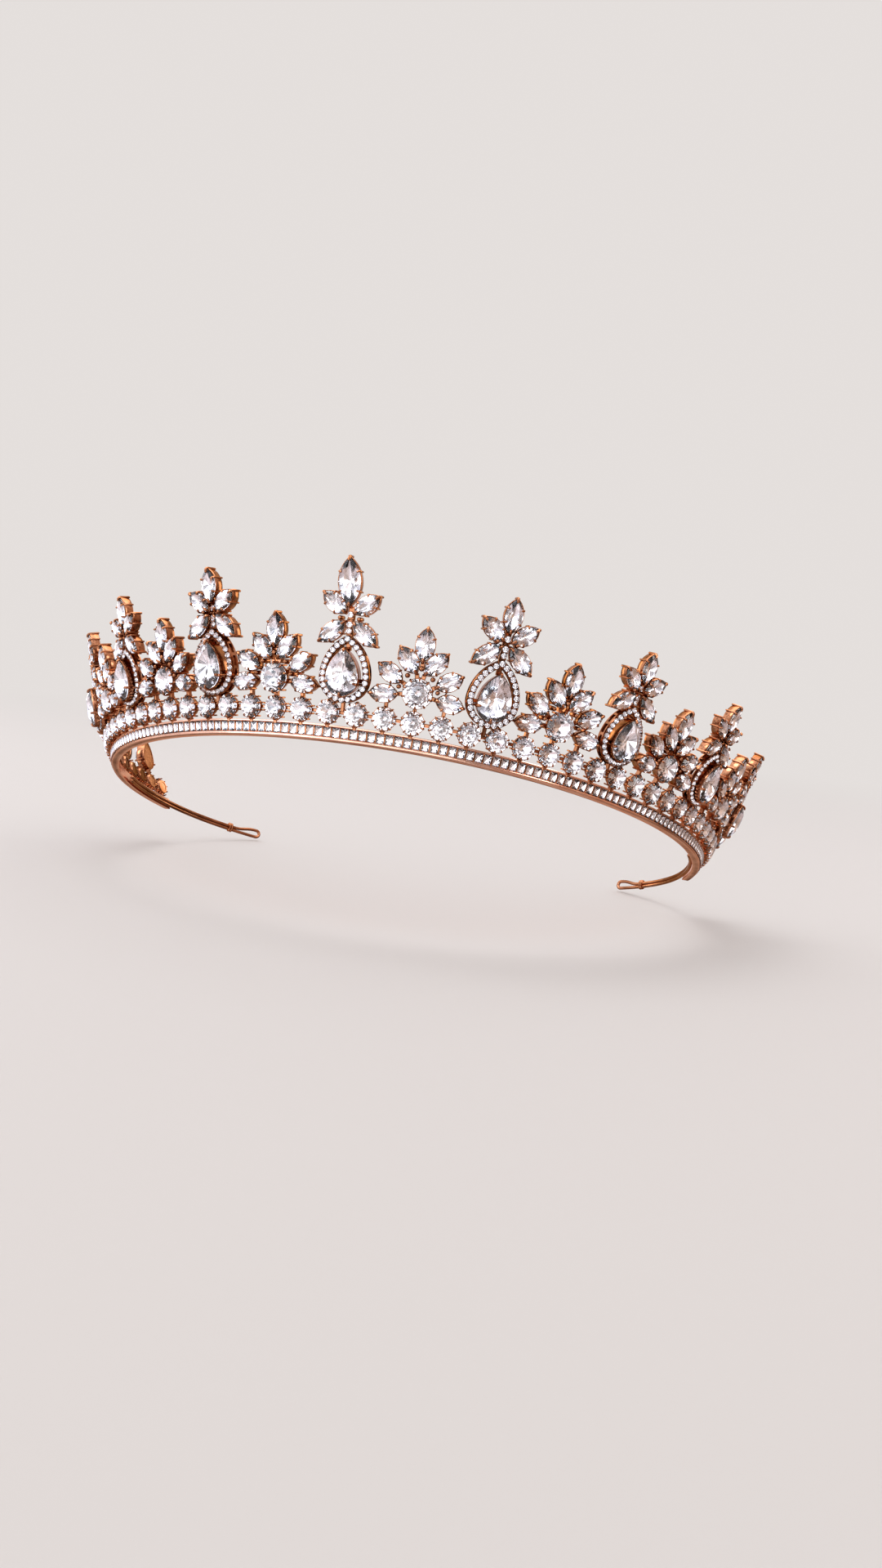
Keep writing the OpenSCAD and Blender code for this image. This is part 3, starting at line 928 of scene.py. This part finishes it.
def wire_path():
    """Along the band inside, round the bend, through the loop and back."""
    lap = [math.radians(BAND_HALF_ANGLE - LAP_ANGLE + a) for a in np.arange(0, LAP_ANGLE, LAP_STEP)]
    loop_high = STRAND_LOW + 2 * LOOP_R
    path = [(LAP_R * math.sin(a), CENTRE_Y - LAP_R * math.cos(a), STRAND_LOW) for a in lap]
    bend = np.arange(0, BEND_ANGLE, LAP_STEP)
    path += [tuple(bend_place(a)[:3, 3] + (0, 0, STRAND_LOW)) for a in bend]
    tip = bend_place(BEND_ANGLE)
    for a in np.radians(np.arange(-90, 91, ARC_STEP)):
        local = np.array((LOOP_R * math.cos(a), 0, STRAND_LOW + LOOP_R + LOOP_R * math.sin(a), 1))
        path.append(tuple((tip @ local)[:3]))
    for a in np.arange(BEND_ANGLE - 1, 0, -1):
        z = STRAND_HIGH + (loop_high - STRAND_HIGH) * ease(a, FERRULE_ANGLE + 2, BEND_ANGLE - 1)
        path.append(tuple(bend_place(a)[:3, 3] + (0, 0, z)))
    path += [(LAP_R * math.sin(a), CENTRE_Y - LAP_R * math.cos(a), STRAND_HIGH) for a in lap[::-1]]
    return np.array(path)


def ferrule_ring(x, radius):
    """A stadium around both strands, in the plane across the wire."""
    low, high = STRAND_LOW, STRAND_HIGH + 0.2
    angles = np.radians(np.arange(0, 181, ARC_STEP))
    top = [(x, radius * math.cos(a), high + radius * math.sin(a)) for a in angles]
    under = [(x, -radius * math.cos(a), low - radius * math.sin(a)) for a in angles]
    return np.array(top + under)


def wires():
    """A bent wire at each end of the band, and the wrapped ferrule around its two strands."""
    for side, name in ((-1, "left"), (1, "right")):
        flip = np.diag((side, 1, 1, 1)).astype(float)
        piece = metal_piece(f"wire_{name}")
        tube(piece, wire_path(), 0.99 * WIRE_R, 14, flip)
        piece.make(WIRE_SMOOTH)
        piece = metal_piece(f"ferrule_{name}")
        rings = []
        for i in range(WRAPS * WRAP_STEPS + 1):
            swell = abs(math.sin(math.pi * i / WRAP_STEPS))
            x = (i / (WRAPS * WRAP_STEPS) - 0.5) * FERRULE_LEN
            rings.append(ferrule_ring(x, WIRE_R + WRAP_DIP + (FERRULE_WALL - WRAP_DIP) * swell**0.5))
        loft(piece, rings, flip @ bend_place(FERRULE_ANGLE), caps=True)
        piece.make(WIRE_SMOOTH)


# --- Stage, in metres and degrees -----------------------------------------------

CAMERA_PLACE = (0.074136, -0.310893, -0.071065)
CAMERA_TURNS = (11.331, 13.88, 10.087)  # to the left, up, and its right side raised
FLOOR_TILT = 19  # the tiara is seen from below its band, so the floor falls away to the front
PALE = (0.78, 0.74, 0.72)
ROOM_R = 1.6
ROOM_TONES = (  # from the lowest point of the room upward
    (0, (0.7, 0.55, 0.5)),
    (0.3, (0.95, 0.85, 0.82)),
    (0.5, (1.15, 1.1, 1.1)),
    (0.66, (1.5, 1.5, 1.55)),
    (0.85, (1.9, 1.9, 2)),
)
ROOM_TINTS = ((0.5, (0.99, 1, 1.08)), (0.9, (0.42, 0.29, 0.22)))  # from left to right
DARK_SIDE = (0.22, -0.95, -0.22)  # the room is darker in this direction, low in front
LIGHTS_AIM = (0, 0, 0.02)


def camera():
    """Stands low in front, a little to the right, and looks up with its right side raised."""
    data = bpy.data.cameras.new("camera")
    data.lens = 30.907
    data.sensor_width = 36
    data.clip_start = 0.01
    data.clip_end = 50
    thing = bpy.data.objects.new("camera", data)
    bpy.context.scene.collection.objects.link(thing)
    yaw, pitch, roll = (math.radians(turn) for turn in CAMERA_TURNS)
    thing.matrix_world = (
        Matrix.Translation(CAMERA_PLACE)
        @ Matrix.Rotation(yaw, 4, "Z")
        @ Matrix.Rotation(math.pi / 2 + pitch, 4, "X")
        @ Matrix.Rotation(roll, 4, "Z"))
    bpy.context.scene.camera = thing


def world():
    scene_world = bpy.data.worlds.new("studio")
    bpy.context.scene.world = scene_world
    scene_world.use_nodes = True
    back = scene_world.node_tree.nodes["Background"]
    back.inputs["Color"].default_value = (*PALE, 1)
    back.inputs["Strength"].default_value = 1


def floor():
    """A pale plane through the wire tips that fades into the background's colour."""
    material, nodes, links = new_material("floor")
    shader = nodes["Principled BSDF"]
    shader.inputs["Base Color"].default_value = (0.75, 0.72, 0.705, 1)
    shader.inputs["Roughness"].default_value = 0.8
    glow = nodes.new("ShaderNodeEmission")
    glow.inputs["Color"].default_value = (*PALE, 1)
    mix = nodes.new("ShaderNodeMixShader")
    where = nodes.new("ShaderNodeTexCoord")
    far = math_node(nodes, "ShaderNodeVectorMath", "LENGTH")
    fade = map_range(nodes, 0.15, 0.9, 0, 1)
    fade.interpolation_type = "SMOOTHSTEP"
    links.new(where.outputs["Object"], far.inputs[0])
    links.new(far.outputs["Value"], fade.inputs["Value"])
    links.new(fade.outputs["Result"], mix.inputs["Fac"])
    links.new(shader.outputs["BSDF"], mix.inputs[1])
    links.new(glow.outputs["Emission"], mix.inputs[2])
    links.new(mix.outputs["Shader"], nodes["Material Output"].inputs["Surface"])
    bpy.ops.mesh.primitive_plane_add(size=30)
    plane = bpy.context.object
    plane.name = "floor"
    plane.location = (0, cad_high.y, 0)
    plane.rotation_euler = (math.radians(FLOOR_TILT), 0, 0)
    plane.data.materials.append(material)
    plane.visible_glossy = False
    plane.visible_transmission = False


def softbox(name, place, size, power, tint=(1, 1, 1), on_floor=False):
    """A soft light; most of them are seen only in reflections, so that the floor stays even."""
    data = bpy.data.lights.new(name, "AREA")
    data.shape = "RECTANGLE"
    data.size, data.size_y = size
    data.energy = power
    data.color = tint
    thing = bpy.data.objects.new(name, data)
    thing.location = place
    thing.rotation_euler = (Vector(LIGHTS_AIM) - Vector(place)).to_track_quat("-Z", "Y").to_euler()
    thing.visible_camera = False
    thing.visible_diffuse = on_floor
    bpy.context.scene.collection.objects.link(thing)


def room_colour(nodes, links, split):
    """Paler above, and dimmer and warmer to the right."""
    height = map_range(nodes, -ROOM_R, ROOM_R, 0, 1)
    tones = colour_ramp(nodes, ROOM_TONES)
    across = map_range(nodes, -ROOM_R, ROOM_R, 0, 1)
    tints = colour_ramp(nodes, ROOM_TINTS)
    tinted = math_node(nodes, "ShaderNodeVectorMath", "MULTIPLY")
    links.new(split.outputs["Z"], height.inputs["Value"])
    links.new(height.outputs["Result"], tones.inputs["Fac"])
    links.new(split.outputs["X"], across.inputs["Value"])
    links.new(across.outputs["Result"], tints.inputs["Fac"])
    links.new(tones.outputs["Color"], tinted.inputs[0])
    links.new(tints.outputs["Color"], tinted.inputs[1])
    return tinted.outputs["Vector"]


def room_strength(nodes, links, where, split):
    """Patches of light and dark, dimmer low in front and behind."""
    patches = nodes.new("ShaderNodeTexVoronoi")
    patches.inputs["Scale"].default_value = 3.2
    contrast = map_range(nodes, 0.2, 0.5, 0.02, 1.3)
    front = math_node(nodes, "ShaderNodeVectorMath", "DOT_PRODUCT")
    front.inputs[1].default_value = DARK_SIDE
    shade = map_range(nodes, 0.75 * ROOM_R, 0.97 * ROOM_R, 1, 0.3)
    behind = map_range(nodes, 0.1 * ROOM_R, 0.6 * ROOM_R, 1, 0.4)
    front_strength = math_node(nodes, "ShaderNodeMath", "MULTIPLY")
    strength = math_node(nodes, "ShaderNodeMath", "MULTIPLY")
    links.new(where.outputs["Object"], patches.inputs["Vector"])
    links.new(patches.outputs["Distance"], contrast.inputs["Value"])
    links.new(where.outputs["Object"], front.inputs[0])
    links.new(front.outputs["Value"], shade.inputs["Value"])
    links.new(contrast.outputs["Result"], front_strength.inputs[0])
    links.new(shade.outputs["Result"], front_strength.inputs[1])
    links.new(split.outputs["Y"], behind.inputs["Value"])
    links.new(front_strength.outputs["Value"], strength.inputs[0])
    links.new(behind.outputs["Result"], strength.inputs[1])
    return strength.outputs["Value"]


def surroundings():
    """A round room that only the stones and the metal reflect."""
    material, nodes, links = new_material("surroundings")
    nodes.remove(nodes["Principled BSDF"])
    glow = nodes.new("ShaderNodeEmission")
    where = nodes.new("ShaderNodeTexCoord")
    split = nodes.new("ShaderNodeSeparateXYZ")
    links.new(where.outputs["Object"], split.inputs[0])
    links.new(room_colour(nodes, links, split), glow.inputs["Color"])
    links.new(room_strength(nodes, links, where, split), glow.inputs["Strength"])
    links.new(glow.outputs["Emission"], nodes["Material Output"].inputs["Surface"])
    bpy.ops.mesh.primitive_uv_sphere_add(radius=ROOM_R, segments=48, ring_count=24)
    room = bpy.context.object
    room.name = "surroundings"
    room.data.materials.append(material)
    room.visible_camera = False
    room.visible_diffuse = False
    room.visible_shadow = False


def lights():
    softbox("key", (-0.5, -0.7, 0.75), (0.5, 0.35), 4, (1, 0.98, 0.95))
    softbox("fill", (0.75, -0.55, 0.25), (0.25, 0.6), 2.5, (0.95, 0.97, 1))
    softbox("low", (-0.03, -0.8, -0.29), (0.9, 0.38), 2.1)
    softbox("window", (-0.62, -0.6, -0.27), (0.5, 0.25), 1.4, (0.72, 0.85, 1))
    softbox("top", (0.1, 0.1, 0.95), (0.7, 0.5), 3)
    softbox("rim", (0.55, 0.75, 0.5), (0.4, 0.4), 1.6)
    softbox("rim_left", (-0.7, 0.5, 0.4), (0.25, 0.5), 1.2)
    softbox("floor_light", (-0.3, -0.2, 1.0), (0.5, 0.5), 2.1, on_floor=True)


# --- Assembly -----------------------------------------------------------------

camera()
world()
floor()
surroundings()
lights()
band()
channel_stones()
row_settings()
row_stones()
for number in range(1, 10):
    spire_frame(number)
    spire_pear(number)
    spire_halo_stones(number)
spire_stones()
for number in range(1, 9):
    fan_frame(number)
    fan_round(number)
fan_leaf_stones()
end_motifs()
wires()

scene = bpy.context.scene
scene.view_settings.view_transform = "Standard"
